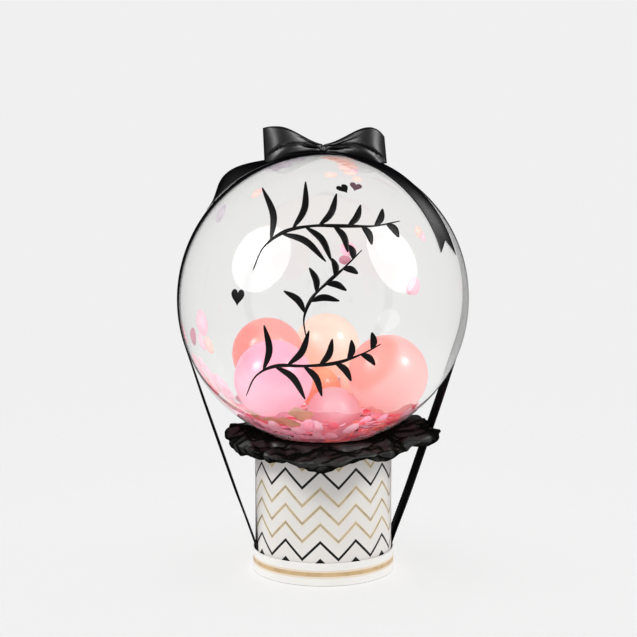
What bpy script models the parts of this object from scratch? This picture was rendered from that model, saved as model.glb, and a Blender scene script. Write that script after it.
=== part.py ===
"""A clear bubble balloon seated in scrunched tissue on a round gift box, tied down with satin ribbon.

Metres, +Z up. The front, with the bow's face, looks along -Y. The origin is the middle of the
underside of the tray that the box stands in.
"""

import math

import bmesh
import bpy
from mathutils import Vector

# Gaps between pieces that touch
TOUCH = 0.0003
FILM_GAP = 0.0006

# Gift box: a card tube with one closed end, standing in its own upturned lid
BOX_RADIUS = 0.100
BOX_HEIGHT = 0.2005
CARD = 0.002
TRAY_HEIGHT = 0.0335
TRAY_PLAY = 0.0016

# Bubble, with the tied neck that it was filled through
BUBBLE_RADIUS = 0.210
NECK_RADIUS = 0.006
NECK_LENGTH = 0.055
NECK_SHOULDER = 0.030

# Scrunched tissue between the rim and the bubble
TISSUE_PAD = 0.011
TISSUE_SHEET = 0.0022
TISSUE_TUCK = 0.030
TISSUE_REACH = 0.053
TISSUE_DROOP = 0.019
TISSUE_RISE = 0.005

# Satin ribbon
RIBBON_THICKNESS = 0.0008

# Strap that holds the bubble down
STRAP_WIDTH = 0.040
STRAP_TURN = math.radians(7.6)
STRAP_TUCK = 0.020
STRAP_BEND = 0.002
STRAP_TWIST = math.radians(2.2)
STRAP_ROOM = 0.003

# Bow, tied from a wider ribbon
BOW_WIDTH = 0.047
LOOP_LENGTH = 0.088
LOOP_BULGE = 0.014
GATHER = 0.28
GATHER_LENGTH = 0.064
KNOT_HALF_WIDTH = 0.0080
KNOT_HALF_HEIGHT = 0.0075
LEFT_LOOP_ARCH = 0.001
RIGHT_LOOP_ARCH = 0.007
LEFT_LOOP_RISE = 0.005
RIGHT_LOOP_RISE = -0.001
LEFT_TAIL_LENGTH = 0.190
RIGHT_TAIL_LENGTH = 0.252
LEFT_TAIL_LIFT = 0.020
RIGHT_TAIL_LIFT = 0.002
TAIL_NOTCH = 0.020

# Mesh steps
ROUND_STEPS = 64
BUBBLE_STEPS = 44
BUBBLE_RINGS = 22
THROAT_RINGS = 4
TISSUE_STEPS = 60
STRAP_RUN_STEPS = 9
STRAP_ARC_STEPS = 20
LOOP_STEPS = 26
TAIL_STEPS = 20
RIBBON_STEPS = 4

# Heights and radii that follow from the sizes above
BOX_FLOOR_Z = CARD + TOUCH
RIM_Z = BOX_FLOOR_Z + BOX_HEIGHT
BOX_INNER = BOX_RADIUS - CARD
TRAY_INNER = BOX_RADIUS + TRAY_PLAY
TRAY_OUTER = TRAY_INNER + CARD
BUBBLE_Z = RIM_Z + TISSUE_PAD + math.sqrt(BUBBLE_RADIUS**2 - BOX_RADIUS**2)
BUBBLE_CENTRE = Vector((0.0, 0.0, BUBBLE_Z))
STRAP_ON_FILM = BUBBLE_RADIUS + FILM_GAP + RIBBON_THICKNESS / 2
STRAP_ON_BOX = BOX_RADIUS + TOUCH + RIBBON_THICKNESS / 2
STRAP_BEND_Z = TRAY_HEIGHT + STRAP_BEND

# Heights over the film of the layers that lie on each other under the knot
OVER_STRAP = FILM_GAP + RIBBON_THICKNESS + TOUCH
TAIL_HEIGHT = OVER_STRAP + RIBBON_THICKNESS * 1.5
OVER_TAIL_HEIGHT = TAIL_HEIGHT + RIBBON_THICKNESS * 1.5
KNOT_CENTRE = BUBBLE_CENTRE + Vector((0.0, 0.0, BUBBLE_RADIUS + OVER_STRAP + KNOT_HALF_HEIGHT))


def clear_scene():
    for old in list(bpy.data.objects):
        bpy.data.objects.remove(old)


def material(name, colour, roughness, metallic=0.0, see_through=0.0):
    made = bpy.data.materials.new(name)
    made.use_nodes = True
    shader = made.node_tree.nodes["Principled BSDF"]
    shader.inputs["Base Color"].default_value = (*colour, 1.0)
    shader.inputs["Roughness"].default_value = roughness
    shader.inputs["Metallic"].default_value = metallic
    shader.inputs["Transmission Weight"].default_value = see_through
    made.diffuse_color = (*colour, 1.0)
    return made


def add_object(name, bm, finish, smooth_angle=math.radians(40.0)):
    """A scene object from a bmesh, which is freed."""
    mesh = bpy.data.meshes.new(name)
    bm.to_mesh(mesh)
    bm.free()
    mesh.shade_smooth()
    mesh.set_sharp_from_angle(angle=smooth_angle)
    mesh.materials.append(finish)
    made = bpy.data.objects.new(name, mesh)
    bpy.context.scene.collection.objects.link(made)
    return made


def smoothstep(value, low, high):
    """0 below low, 1 above high, and an S curve between them."""
    share = min(1.0, max(0.0, (value - low) / (high - low)))
    return share * share * (3.0 - 2.0 * share)


def turned(outline, steps, closed):
    """A bmesh turned about Z from (radius, height) points. An open outline starts and ends on the axis."""
    bm = bmesh.new()
    points = [bm.verts.new((radius, 0.0, height)) for radius, height in outline]
    edges = [bm.edges.new(pair) for pair in zip(points, points[1:])]
    if closed:
        edges.append(bm.edges.new((points[-1], points[0])))
    bmesh.ops.spin(
        bm,
        geom=points + edges,
        cent=(0.0, 0.0, 0.0),
        axis=(0.0, 0.0, 1.0),
        angle=2.0 * math.pi,
        steps=steps,
        use_merge=True,
    )
    bmesh.ops.remove_doubles(bm, verts=bm.verts, dist=1e-6)
    bmesh.ops.recalc_face_normals(bm, faces=bm.faces)
    return bm


def bent_sheet(along, across, surface):
    """A bmesh grid whose point (u, v) goes to surface(u, v), u from 0 to 1 and v from -0.5 to 0.5."""
    bm = bmesh.new()
    bmesh.ops.create_grid(bm, x_segments=along, y_segments=across, size=0.5)
    for vert in bm.verts:
        vert.co = surface(vert.co.x + 0.5, vert.co.y)
    return bm


def ribbon(name, bm, finish):
    """A sheet given the ribbon's thickness, half on each side."""
    made = add_object(name, bm, finish)
    wall = made.modifiers.new("thickness", "SOLIDIFY")
    wall.thickness = RIBBON_THICKNESS
    wall.offset = 0.0
    return made


def film_underside(radius):
    """Height of the bubble's underside at a radius, less the gap that the tissue keeps to it."""
    return BUBBLE_Z - math.sqrt((BUBBLE_RADIUS + FILM_GAP) ** 2 - radius**2)


def build_box(finish):
    top = RIM_Z
    floor = BOX_FLOOR_Z + CARD
    outline = [
        (0.0, BOX_FLOOR_Z),
        (BOX_RADIUS, BOX_FLOOR_Z),
        (BOX_RADIUS, top),
        (BOX_INNER, top),
        (BOX_INNER, floor),
        (0.0, floor),
    ]
    add_object("gift_box", turned(outline, ROUND_STEPS, False), finish)


def build_tray(finish):
    outline = [
        (0.0, 0.0),
        (TRAY_OUTER, 0.0),
        (TRAY_OUTER, TRAY_HEIGHT),
        (TRAY_INNER, TRAY_HEIGHT),
        (TRAY_INNER, CARD),
        (0.0, CARD),
    ]
    add_object("lid_tray", turned(outline, ROUND_STEPS, False), finish)


def bubble_outline():
    """The ball from its top down to the shoulder, then the gathered neck, its knot and its open lip."""
    shoulder = math.pi - math.asin(NECK_SHOULDER / BUBBLE_RADIUS)
    outline = []
    for i in range(BUBBLE_RINGS + 1):
        turn = shoulder * i / BUBBLE_RINGS
        height = BUBBLE_Z + BUBBLE_RADIUS * math.cos(turn)
        outline.append((BUBBLE_RADIUS * math.sin(turn), height))
    throat_top = outline[-1][1]
    throat_drop = NECK_LENGTH * 0.35
    for i in range(1, THROAT_RINGS + 1):
        turn = math.pi / 2 * i / THROAT_RINGS
        radius = NECK_SHOULDER - (NECK_SHOULDER - NECK_RADIUS) * math.sin(turn)
        outline.append((radius, throat_top - throat_drop * (1.0 - math.cos(turn))))
    foot = BUBBLE_Z - BUBBLE_RADIUS - NECK_LENGTH
    outline += [
        (NECK_RADIUS * 1.55, foot + NECK_LENGTH * 0.52),
        (NECK_RADIUS * 0.75, foot + NECK_LENGTH * 0.42),
        (NECK_RADIUS * 1.40, foot + NECK_LENGTH * 0.10),
        (NECK_RADIUS * 1.60, foot),
        (0.0, foot),
    ]
    return outline


def build_bubble(finish):
    bm = turned(bubble_outline(), BUBBLE_STEPS, False)
    add_object("bubble", bm, finish)


def strap_radius(height):
    """How far from the axis the strap's free run is at a height, between the tray and the bubble."""
    leave_radius, leave_z = strap_leaves_film()
    share = (height - STRAP_BEND_Z) / (leave_z - STRAP_BEND_Z)
    return STRAP_ON_BOX + (leave_radius - STRAP_ON_BOX) * share


def strap_leaves_film():
    """(radius, height) where the straight run meets the bubble without a corner."""
    down = BUBBLE_Z - STRAP_BEND_Z
    distance = math.hypot(STRAP_ON_BOX, down)
    turn = math.atan2(-down, STRAP_ON_BOX) + math.acos(STRAP_ON_FILM / distance)
    return STRAP_ON_FILM * math.cos(turn), BUBBLE_Z + STRAP_ON_FILM * math.sin(turn)


TISSUE_OUTLINE = (
    # distance out from the box as a share of reach, height as a share of droop, or of rise above the rim
    (0.00, -0.62),
    (0.16, -0.96),
    (0.42, -1.00),
    (0.74, -0.70),
    (0.97, -0.28),
    (1.04, 0.20),
    (0.90, 0.80),
    (0.58, 1.00),
    (0.30, 1.00),
)


def tissue_outline():
    """Round the tissue's section: down inside the box, over the rim, out under the bubble."""
    leg_outer = BOX_INNER - TOUCH
    leg_inner = leg_outer - TISSUE_SHEET
    over_rim = RIM_Z + TOUCH
    outside = BOX_RADIUS + TOUCH
    outline = [
        (leg_inner, RIM_Z - TISSUE_TUCK),
        (leg_outer, RIM_Z - TISSUE_TUCK),
        (leg_outer, over_rim),
        (outside, over_rim),
    ]
    for out, up in TISSUE_OUTLINE:
        height = up * (TISSUE_RISE if up > 0.0 else TISSUE_DROOP)
        outline.append((outside + out * TISSUE_REACH, RIM_Z + height))
    outline += [
        (outside, film_underside(outside)),
        (leg_inner, film_underside(leg_inner)),
    ]
    return outline


def tissue_wave(turn):
    """(outward, upward) ruffle of the tissue's free edge at an angle round the box, as shares of its reach."""
    out = 0.15 * math.cos(turn + 0.2) + 0.10 * math.sin(3 * turn + 0.6)
    out += 0.09 * math.sin(7 * turn + 2.1) + 0.05 * math.sin(12 * turn + 0.4)
    up = 0.08 * math.cos(turn) + 0.10 * math.cos(2 * turn) + 0.03 * math.sin(turn) - 0.05
    up += 0.05 * math.sin(5 * turn) + 0.04 * math.sin(9 * turn)
    return out, up


def strap_side_limit(point):
    """How far out the tissue may reach at a point, so that the strap's run passes it."""
    beside = abs(point.y * math.cos(STRAP_TURN) - point.x * math.sin(STRAP_TURN))
    half_width = STRAP_WIDTH / 2
    room = half_width * math.sin(STRAP_TWIST) + RIBBON_THICKNESS + STRAP_ROOM
    opening = smoothstep(beside, half_width * 1.2, half_width * 2.0)
    return strap_radius(point.z) - room + opening * TISSUE_REACH


def build_tissue(finish):
    bm = turned(tissue_outline(), TISSUE_STEPS, True)
    outside = BOX_RADIUS + TOUCH
    for vert in bm.verts:
        point = vert.co
        radius = math.hypot(point.x, point.y)
        turn = math.atan2(point.y, point.x)
        free = smoothstep(radius - outside, 0.0, TISSUE_REACH)
        if free <= 0.0:
            continue
        out, up = tissue_wave(turn)
        radius_now = radius + free * out * TISSUE_REACH
        point.z += free * up * TISSUE_REACH
        radius_now = min(radius_now, strap_side_limit(point))
        point.z = min(point.z, film_underside(radius_now) - FILM_GAP)
        point.x = radius_now * math.cos(turn)
        point.y = radius_now * math.sin(turn)
    add_object("tissue_collar", bm, finish, math.radians(60.0))


def strap_stations():
    """Along the strap from its left end to its right one: (centre, out from the bend, twist, curl across)."""
    leave_radius, leave_z = strap_leaves_film()
    leave = math.atan2(leave_z - BUBBLE_Z, leave_radius)
    tucked = [TRAY_HEIGHT - STRAP_TUCK, TRAY_HEIGHT - STRAP_TUCK / 2, TRAY_HEIGHT, STRAP_BEND_Z]
    half = [(STRAP_ON_BOX, z, (1.0, 0.0), 0.0, 1.0 / STRAP_ON_BOX) for z in tucked]
    normal = (math.cos(leave), math.sin(leave))
    for i in range(1, STRAP_RUN_STEPS):
        share = i / STRAP_RUN_STEPS
        radius = STRAP_ON_BOX + (leave_radius - STRAP_ON_BOX) * share
        height = STRAP_BEND_Z + (leave_z - STRAP_BEND_Z) * share
        curl = (1.0 - smoothstep(share, 0.0, 0.3)) / STRAP_ON_BOX
        curl += smoothstep(share, 0.7, 1.0) / STRAP_ON_FILM
        half.append((radius, height, normal, STRAP_TWIST * math.sqrt(math.sin(math.pi * share)), curl))
    for i in range(STRAP_ARC_STEPS):
        turn = leave + (math.pi / 2 - leave) * i / STRAP_ARC_STEPS
        out = (math.cos(turn), math.sin(turn))
        radius = STRAP_ON_FILM * out[0]
        height = BUBBLE_Z + STRAP_ON_FILM * out[1]
        half.append((radius, height, out, 0.0, 1.0 / STRAP_ON_FILM))
    top = (0.0, BUBBLE_Z + STRAP_ON_FILM, (0.0, 1.0), 0.0, 1.0 / STRAP_ON_FILM)
    left = [(-r, z, (-n[0], n[1]), twist, curl) for r, z, n, twist, curl in half]
    return left + [top] + half[::-1]


def build_strap(finish):
    stations = strap_stations()
    outward = Vector((math.cos(STRAP_TURN), math.sin(STRAP_TURN), 0.0))
    backward = Vector((-math.sin(STRAP_TURN), math.cos(STRAP_TURN), 0.0))
    up = Vector((0.0, 0.0, 1.0))

    def surface(u, v):
        radius, height, normal, twist, curl = stations[round(u * (len(stations) - 1))]
        side = v * STRAP_WIDTH
        face = outward * normal[0] + up * normal[1]
        across = backward * math.cos(twist) - face * math.sin(twist)
        face = face * math.cos(twist) + backward * math.sin(twist)
        middle = outward * radius + up * height
        if curl == 0.0:
            return middle + across * side
        bend = side * curl
        return middle + (across * math.sin(bend) - face * (1.0 - math.cos(bend))) / curl

    ribbon("ribbon_strap", bent_sheet(len(stations) - 1, RIBBON_STEPS, surface), finish)


def gathered(distance, spread_by):
    """Share of the ribbon's full width at a distance from the knot, where it is bunched up."""
    spread = math.sin(math.pi / 2 * min(1.0, max(0.0, distance / spread_by)))
    return GATHER + (1.0 - GATHER) * spread


def above_ball(centre, up, height):
    """How far along up from centre a line last comes within height of the film, or None if it never does."""
    away = centre - BUBBLE_CENTRE
    along = away.dot(up)
    inside = along**2 - away.length_squared + (BUBBLE_RADIUS + height) ** 2
    return None if inside < 0.0 else math.sqrt(inside) - along


def loop_surface(side, length, spread_by, arch, rise, splay, lean):
    """The surface of one loop, on the left where side is -1. Its lower edge stays above the tails.

    It has its full width at spread_by from the knot. arch lifts its middle and rise its end. splay and lean
    tip its upper edge outward and forward.
    """
    start = KNOT_HALF_WIDTH * 0.2
    layers_apart = RIBBON_THICKNESS * 2.0

    def middle(u):
        out = start + (length - start) * math.sin(math.pi * u)
        back = -LOOP_BULGE * math.sin(2.0 * math.pi * u) - layers_apart * math.cos(math.pi * u)
        share = out / length
        return Vector((side * out, back, arch * math.sin(math.pi * share) + rise * share))

    def surface(u, v):
        local = middle(u)
        centre = KNOT_CENTRE + local
        out = abs(local.x)
        share = out / length
        up = Vector((side * splay * share, -lean * share, 1.0)).normalized()
        top = BOW_WIDTH / 2 * gathered(out, spread_by)
        bottom = -top
        limit = above_ball(centre, up, OVER_TAIL_HEIGHT)
        if limit is not None:
            bottom = max(bottom, limit)
        return centre + up * (bottom + (top - bottom) * (v + 0.5))

    return surface


def tail_surface(azimuth, swing, length, lift, lift_at, clears_strap):
    """The surface of one tail along the bubble.

    It leaves the knot at an azimuth and swings round by the end. Its back edge lifts most at lift_at of its
    length, and a tail that clears the strap comes down to the film.
    """
    start = KNOT_HALF_WIDTH * 0.3
    on_film = FILM_GAP + RIBBON_THICKNESS / 2

    def direction(travel):
        turn = travel / BUBBLE_RADIUS
        heading = azimuth + swing * travel / length
        return Vector((math.sin(turn) * math.cos(heading), math.sin(turn) * math.sin(heading), math.cos(turn)))

    def surface(u, v):
        end = length - TAIL_NOTCH * (1.0 - abs(2.0 * v))
        travel = start + (end - start) * u
        share = travel / length
        bump = math.sin(math.pi * share ** (math.log(0.5) / math.log(lift_at)))
        back_edge = lift * max(0.0, bump) ** 1.5
        tip = back_edge / BOW_WIDTH
        side = v * BOW_WIDTH * gathered(travel, GATHER_LENGTH) * math.sqrt(1.0 - tip * tip)
        radial = direction(travel)
        along = direction(travel + length * 0.01) - radial
        backward = along.cross(radial).normalized()
        backward *= math.copysign(1.0, backward.y)
        height = TAIL_HEIGHT
        if clears_strap:
            height += (on_film - height) * smoothstep(travel, BOW_WIDTH * 2.0, BOW_WIDTH * 3.4)
        height += KNOT_HALF_HEIGHT * 0.3 * (1.0 - smoothstep(travel, 0.0, KNOT_HALF_WIDTH * 1.5))
        height += back_edge * (v + 0.5)
        lean = side / BUBBLE_RADIUS
        return BUBBLE_CENTRE + (radial * math.cos(lean) + backward * math.sin(lean)) * (BUBBLE_RADIUS + height)

    return surface


LOOPS = (
    # name, side, length, length of its gathers, arch, rise, splay, lean
    ("left_loop", -1.0, LOOP_LENGTH * 0.97, GATHER_LENGTH, LEFT_LOOP_ARCH, LEFT_LOOP_RISE, 0.12, 0.30),
    ("right_loop", 1.0, LOOP_LENGTH, GATHER_LENGTH * 1.3, RIGHT_LOOP_ARCH, RIGHT_LOOP_RISE, -0.16, 0.30),
)
TAILS = (
    # name, azimuth, swing, length, lift, lift_at, whether it ends clear of the strap
    ("left_tail", math.radians(173.0), 0.0, LEFT_TAIL_LENGTH, LEFT_TAIL_LIFT, 0.74, False),
    ("right_tail", math.radians(-22.0), math.radians(-5.0), RIGHT_TAIL_LENGTH, RIGHT_TAIL_LIFT, 0.35, True),
)


def build_bow(finish):
    """Loops and tails are joined into the knot, because the bow is tied from one length of ribbon."""
    bm = bmesh.new()
    bmesh.ops.create_uvsphere(bm, u_segments=16, v_segments=10, radius=1.0)
    bmesh.ops.scale(
        bm, vec=(KNOT_HALF_WIDTH, KNOT_HALF_WIDTH * 0.9, KNOT_HALF_HEIGHT), verts=bm.verts
    )
    bmesh.ops.translate(bm, vec=KNOT_CENTRE, verts=bm.verts)
    bow = add_object("bow", bm, finish)
    pieces = bpy.data.collections.new("bow_pieces")
    for name, *shape in LOOPS:
        pieces.objects.link(ribbon(name, bent_sheet(LOOP_STEPS, RIBBON_STEPS, loop_surface(*shape)), finish))
    for name, *shape in TAILS:
        pieces.objects.link(ribbon(name, bent_sheet(TAIL_STEPS, RIBBON_STEPS, tail_surface(*shape)), finish))
    for piece in pieces.objects:
        piece.hide_render = True
        piece.display_type = "WIRE"
    join = bow.modifiers.new("join", "BOOLEAN")
    join.operation = "UNION"
    join.solver = "EXACT"
    join.operand_type = "COLLECTION"
    join.collection = pieces


def main():
    clear_scene()
    film = material("clear_film", (0.93, 0.93, 0.92), 0.03, see_through=1.0)
    paper = material("printed_paper", (0.88, 0.87, 0.86), 0.45)
    card = material("tray_paper", (0.90, 0.90, 0.89), 0.40)
    tissue = material("black_tissue", (0.020, 0.020, 0.021), 0.85)
    satin = material("black_satin", (0.012, 0.012, 0.014), 0.35)
    build_tray(card)
    build_box(paper)
    build_tissue(tissue)
    build_bubble(film)
    build_strap(satin)
    build_bow(satin)


main()
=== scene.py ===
# %% [markdown]
# # A clear bubble balloon on a gift box
#
# The object is a sealed ball of clear film with small latex balloons and paper confetti in it. It sits in
# black tissue on a round card box, and satin ribbon ties it down under a bow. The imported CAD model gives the
# places and the sizes. This script gives each piece its fine shape and its finish.

# %% Load the frame
import math
import random

import bmesh
import bpy
from mathutils import Matrix, Vector, noise


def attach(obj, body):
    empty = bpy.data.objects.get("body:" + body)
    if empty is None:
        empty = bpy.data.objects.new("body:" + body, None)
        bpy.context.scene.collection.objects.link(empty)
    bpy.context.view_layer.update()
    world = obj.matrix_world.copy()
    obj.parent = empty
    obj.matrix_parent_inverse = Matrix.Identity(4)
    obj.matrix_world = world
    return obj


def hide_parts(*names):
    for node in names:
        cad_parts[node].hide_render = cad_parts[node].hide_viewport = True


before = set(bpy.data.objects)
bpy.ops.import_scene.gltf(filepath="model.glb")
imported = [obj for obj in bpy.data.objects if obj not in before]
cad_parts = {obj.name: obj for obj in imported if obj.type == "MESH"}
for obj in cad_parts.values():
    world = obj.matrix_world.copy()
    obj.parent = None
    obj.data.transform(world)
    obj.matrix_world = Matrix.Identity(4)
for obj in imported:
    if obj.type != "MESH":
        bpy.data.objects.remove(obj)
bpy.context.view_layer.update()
print("CAD nodes:", sorted(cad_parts))

# %% [markdown]
# ## Sizes
#
# Every piece has to sit where its solid sits, so the solids' own sizes are written here again. They are in
# metres, with the origin in the middle of the tray's underside and the front towards -Y.

# %% Sizes of the solids
TOUCH = 0.0003
FILM_GAP = 0.0006
BOX_RADIUS = 0.100
BOX_HEIGHT = 0.2005
CARD = 0.002
TRAY_HEIGHT = 0.0335
TRAY_PLAY = 0.0016
BUBBLE_RADIUS = 0.210
NECK_RADIUS = 0.006
NECK_LENGTH = 0.055
NECK_SHOULDER = 0.030
TISSUE_PAD = 0.011
TISSUE_TUCK = 0.030
TISSUE_REACH = 0.053
TISSUE_DROOP = 0.019
TISSUE_RISE = 0.005
RIBBON_THICKNESS = 0.0008
STRAP_WIDTH = 0.040
STRAP_TURN = math.radians(7.6)
STRAP_TUCK = 0.020
STRAP_BEND = 0.002
STRAP_TWIST = math.radians(2.2)
STRAP_ROOM = 0.003
BOW_WIDTH = 0.047
LOOP_LENGTH = 0.088
LOOP_BULGE = 0.016
PINCH = 0.20
GATHER_LENGTH = 0.064
KNOT_HALF_WIDTH = 0.0080
KNOT_SHOWN = 0.72
KNOT_HALF_HEIGHT = 0.0075
TAIL_NOTCH = 0.020

BOX_FLOOR_Z = CARD + TOUCH
RIM_Z = BOX_FLOOR_Z + BOX_HEIGHT
BOX_INNER = BOX_RADIUS - CARD
TRAY_INNER = BOX_RADIUS + TRAY_PLAY
TRAY_OUTER = TRAY_INNER + CARD
BUBBLE_Z = RIM_Z + TISSUE_PAD + math.sqrt(BUBBLE_RADIUS**2 - BOX_RADIUS**2)
BUBBLE_CENTRE = Vector((0.0, 0.0, BUBBLE_Z))
STRAP_ON_FILM = BUBBLE_RADIUS + FILM_GAP + RIBBON_THICKNESS / 2
STRAP_ON_BOX = BOX_RADIUS + TOUCH + RIBBON_THICKNESS / 2
STRAP_BEND_Z = TRAY_HEIGHT + STRAP_BEND
OVER_STRAP = FILM_GAP + RIBBON_THICKNESS + TOUCH
TAIL_HEIGHT = OVER_STRAP + RIBBON_THICKNESS * 0.6
OVER_TAIL_HEIGHT = TAIL_HEIGHT + RIBBON_THICKNESS
KNOT_CENTRE = BUBBLE_CENTRE + Vector((0.0, 0.0, BUBBLE_RADIUS + OVER_STRAP + KNOT_HALF_HEIGHT))
print("bubble centre", round(BUBBLE_Z, 4), "rim", round(RIM_Z, 4))

# %% [markdown]
# ## Camera
#
# A photograph of a product is taken from far away with a long lens, which keeps the ball round. The camera
# stands 2.6 m in front, a little above the ball's middle, and looks down slightly. Two helpers turn a point
# of the picture into a line of sight and into a place on the ball, so that flat marks can be put where they
# are seen.

# %% Camera
LENS_MM = 101.5
SENSOR_MM = 36.0
PICTURE = 637
EYE = Vector((-0.007, -2.577, BUBBLE_Z + 0.348))
LOOK_DOWN = math.radians(8.3)

camera_data = bpy.data.cameras.new("camera")
camera_data.lens = LENS_MM
camera_data.sensor_width = SENSOR_MM
camera = bpy.data.objects.new("camera", camera_data)
camera.location = EYE
camera.rotation_euler = (math.pi / 2 - LOOK_DOWN, 0.0, 0.0)
bpy.context.scene.collection.objects.link(camera)
bpy.context.scene.camera = camera


# %% Lines of sight
def sight_line(across, down):
    """Direction from the camera through a point of the picture, counted from its top left corner."""
    scale = SENSOR_MM / PICTURE / LENS_MM
    right = (across - PICTURE / 2) * scale
    up = (PICTURE / 2 - down) * scale
    level = math.cos(LOOK_DOWN)
    drop = math.sin(LOOK_DOWN)
    return Vector((right, level + up * drop, up * level - drop)).normalized()


def on_ball(across, down, radius, behind=False):
    """Where that line of sight meets a ball of this radius about the bubble's centre."""
    ray = sight_line(across, down)
    away = EYE - BUBBLE_CENTRE
    nearest = -away.dot(ray)
    inside = nearest**2 - away.length_squared + radius**2
    depth = math.sqrt(max(inside, 0.0))
    return EYE + ray * (nearest + depth if behind else nearest - depth)


# %% [markdown]
# ## Studio
#
# The background is a white world, and the floor is a pale disc that fades into it, so no horizon shows from
# any side. The film mirrors two large softboxes and a small one. They are placed by the mirror law from
# where their reflections are seen on the ball, and they light only glossy surfaces, so that the paper isn't
# burnt out. The paper is lit by a key lamp on each side.

# %% Colours and light
def srgb(red, green, blue):
    """A colour given as 0 to 255 in a picture, as the linear colour that a shader takes."""

    def linear(value):
        share = value / 255
        return share / 12.92 if share <= 0.04045 else ((share + 0.055) / 1.055) ** 2.4

    return (linear(red), linear(green), linear(blue), 1.0)


def add_lamp(name, place, target, width, height, radiance, glossy_only):
    """A round or oval softbox that faces the target."""
    data = bpy.data.lights.new(name, "AREA")
    data.shape = "ELLIPSE"
    data.size = width
    data.size_y = height
    data.energy = radiance * math.pi * math.pi * width * height / 4
    lamp = bpy.data.objects.new(name, data)
    lamp.location = place
    lamp.rotation_euler = (place - target).to_track_quat("Z", "Y").to_euler()
    lamp.visible_camera = False
    lamp.visible_transmission = False
    lamp.visible_diffuse = not glossy_only
    bpy.context.scene.collection.objects.link(lamp)
    return lamp


SOFTBOX_DISTANCE = 1.6
SOFTBOXES = (
    # name, where the ball shows it, width, height, radiance
    ("softbox_left", 260, 258, 1.48, 1.52, 4.5),
    ("softbox_right", 394, 258, 1.18, 1.50, 4.5),
    ("softbox_low", 389, 320, 0.55, 0.45, 1.6),
)
for name, across, down, width, height, radiance in SOFTBOXES:
    mirror = on_ball(across, down, BUBBLE_RADIUS)
    normal = (mirror - BUBBLE_CENTRE).normalized()
    ray = sight_line(across, down)
    towards = ray - normal * (2.0 * ray.dot(normal))
    place = mirror + towards * SOFTBOX_DISTANCE
    add_lamp(name, place, mirror, width, height, radiance, True)
    print(name, [round(value, 2) for value in place])
KEYS = {
    "key_left": Vector((-2.2, -1.1, 2.2)),
    "key_right": Vector((2.2, -1.1, 2.2)),
}
keys = [add_lamp(name, place, BUBBLE_CENTRE, 0.9, 0.9, 20.0, False) for name, place in KEYS.items()]
for key in keys:
    key.data.specular_factor = 0.1

bpy.context.scene.view_settings.view_transform = "Standard"

# %% [markdown]
# ## Shader maths
#
# Patterns on these pieces are sums of coordinates: a zigzag is a folded angle, a weave is a stretched noise.
# A small class wraps a socket, so that such sums read as ordinary Python, and each sum adds its Math nodes.


# %% Shader helpers
class Wire:
    """A shader socket, or a bare node tree to start from, that can be used in sums."""

    def __init__(self, tree, socket=None):
        self.tree = tree
        self.socket = socket

    def node(self, kind, settings=None, sockets=None, output=0):
        """Adds a node of a kind, with its settings made first, and gives one of its outputs."""
        made = self.tree.nodes.new("ShaderNode" + kind)
        for name, value in (settings or {}).items():
            setattr(made, name, value)
        for key, value in (sockets or {}).items():
            plug(self.tree, made.inputs[key], value)
        return Wire(self.tree, made.outputs[output])

    def maths(self, operation, *values):
        return self.node("Math", {"operation": operation}, dict(enumerate(values)))

    def __add__(self, other):
        return self.maths("ADD", self, other)

    def __radd__(self, other):
        return self.maths("ADD", other, self)

    def __sub__(self, other):
        return self.maths("SUBTRACT", self, other)

    def __rsub__(self, other):
        return self.maths("SUBTRACT", other, self)

    def __mul__(self, other):
        return self.maths("MULTIPLY", self, other)

    def __rmul__(self, other):
        return self.maths("MULTIPLY", other, self)

    def __truediv__(self, other):
        return self.maths("DIVIDE", self, other)

    def __lt__(self, other):
        return self.maths("LESS_THAN", self, other)

    def __gt__(self, other):
        return self.maths("GREATER_THAN", self, other)

    def step(self, low, high):
        """0 at low, 1 at high, and an S curve between them. High may be the lower number."""
        settings = {"interpolation_type": "SMOOTHSTEP"}
        return self.node("MapRange", settings, {"Value": self, "From Min": low, "From Max": high})

    def colours(self, first, second):
        """The first colour where this is 0 and the second where it is 1."""
        return self.node("Mix", {"data_type": "RGBA"}, {0: self, 6: first, 7: second}, output=2)

    def stretched(self, *scale):
        """This vector with each of its parts multiplied."""
        return self.node("VectorMath", {"operation": "MULTIPLY"}, {0: self, 1: scale})


def plug(tree, target, value):
    if isinstance(value, Wire):
        tree.links.new(value.socket, target)
    else:
        target.default_value = value


# %% Finishes and textures
def new_finish(name, **values):
    """A material with plain values on its Principled shader. Gives the material, a wire and the shader."""
    made = bpy.data.materials.new(name)
    made.use_nodes = True
    shader = made.node_tree.nodes["Principled BSDF"]
    for key, value in values.items():
        shader.inputs[key.replace("_", " ")].default_value = value
    return made, Wire(made.node_tree), shader


def drive(shader, **sockets):
    """Links wires to the shader's sockets."""
    for key, value in sockets.items():
        plug(shader.id_data, shader.inputs[key.replace("_", " ")], value)


def object_place(wire):
    return wire.node("TexCoord", output="Object")


def let_light_through(wire, shader, colour, share):
    """Mixes in a Translucent shader, because thin latex and paper scatter the light that is behind them."""
    behind = wire.node("BsdfTranslucent", sockets={"Color": colour})
    front = Wire(wire.tree, shader.outputs[0])
    both = wire.node("MixShader", sockets={0: share, 1: front, 2: behind})
    plug(wire.tree, wire.tree.nodes["Material Output"].inputs["Surface"], both)


def cloth_place(wire):
    return wire.node("TexCoord", output="UV")


def parts_of(wire, vector):
    """The x, y and z of a vector."""
    return [wire.node("SeparateXYZ", sockets={0: vector}, output=index) for index in range(3)]


def grain(wire, vector, scale, detail):
    return wire.node("TexNoise", sockets={"Vector": vector, "Scale": scale, "Detail": detail})


def patchy(wire, vector, scale, detail, first, second):
    """Two colours in soft patches."""
    return grain(wire, vector, scale, detail).step(0.3, 0.75).colours(first, second)


def bumped(wire, height, distance, strength):
    """The normal of a surface whose height is given in units of the distance."""
    return wire.node("Bump", sockets={"Height": height, "Distance": distance, "Strength": strength})


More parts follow.
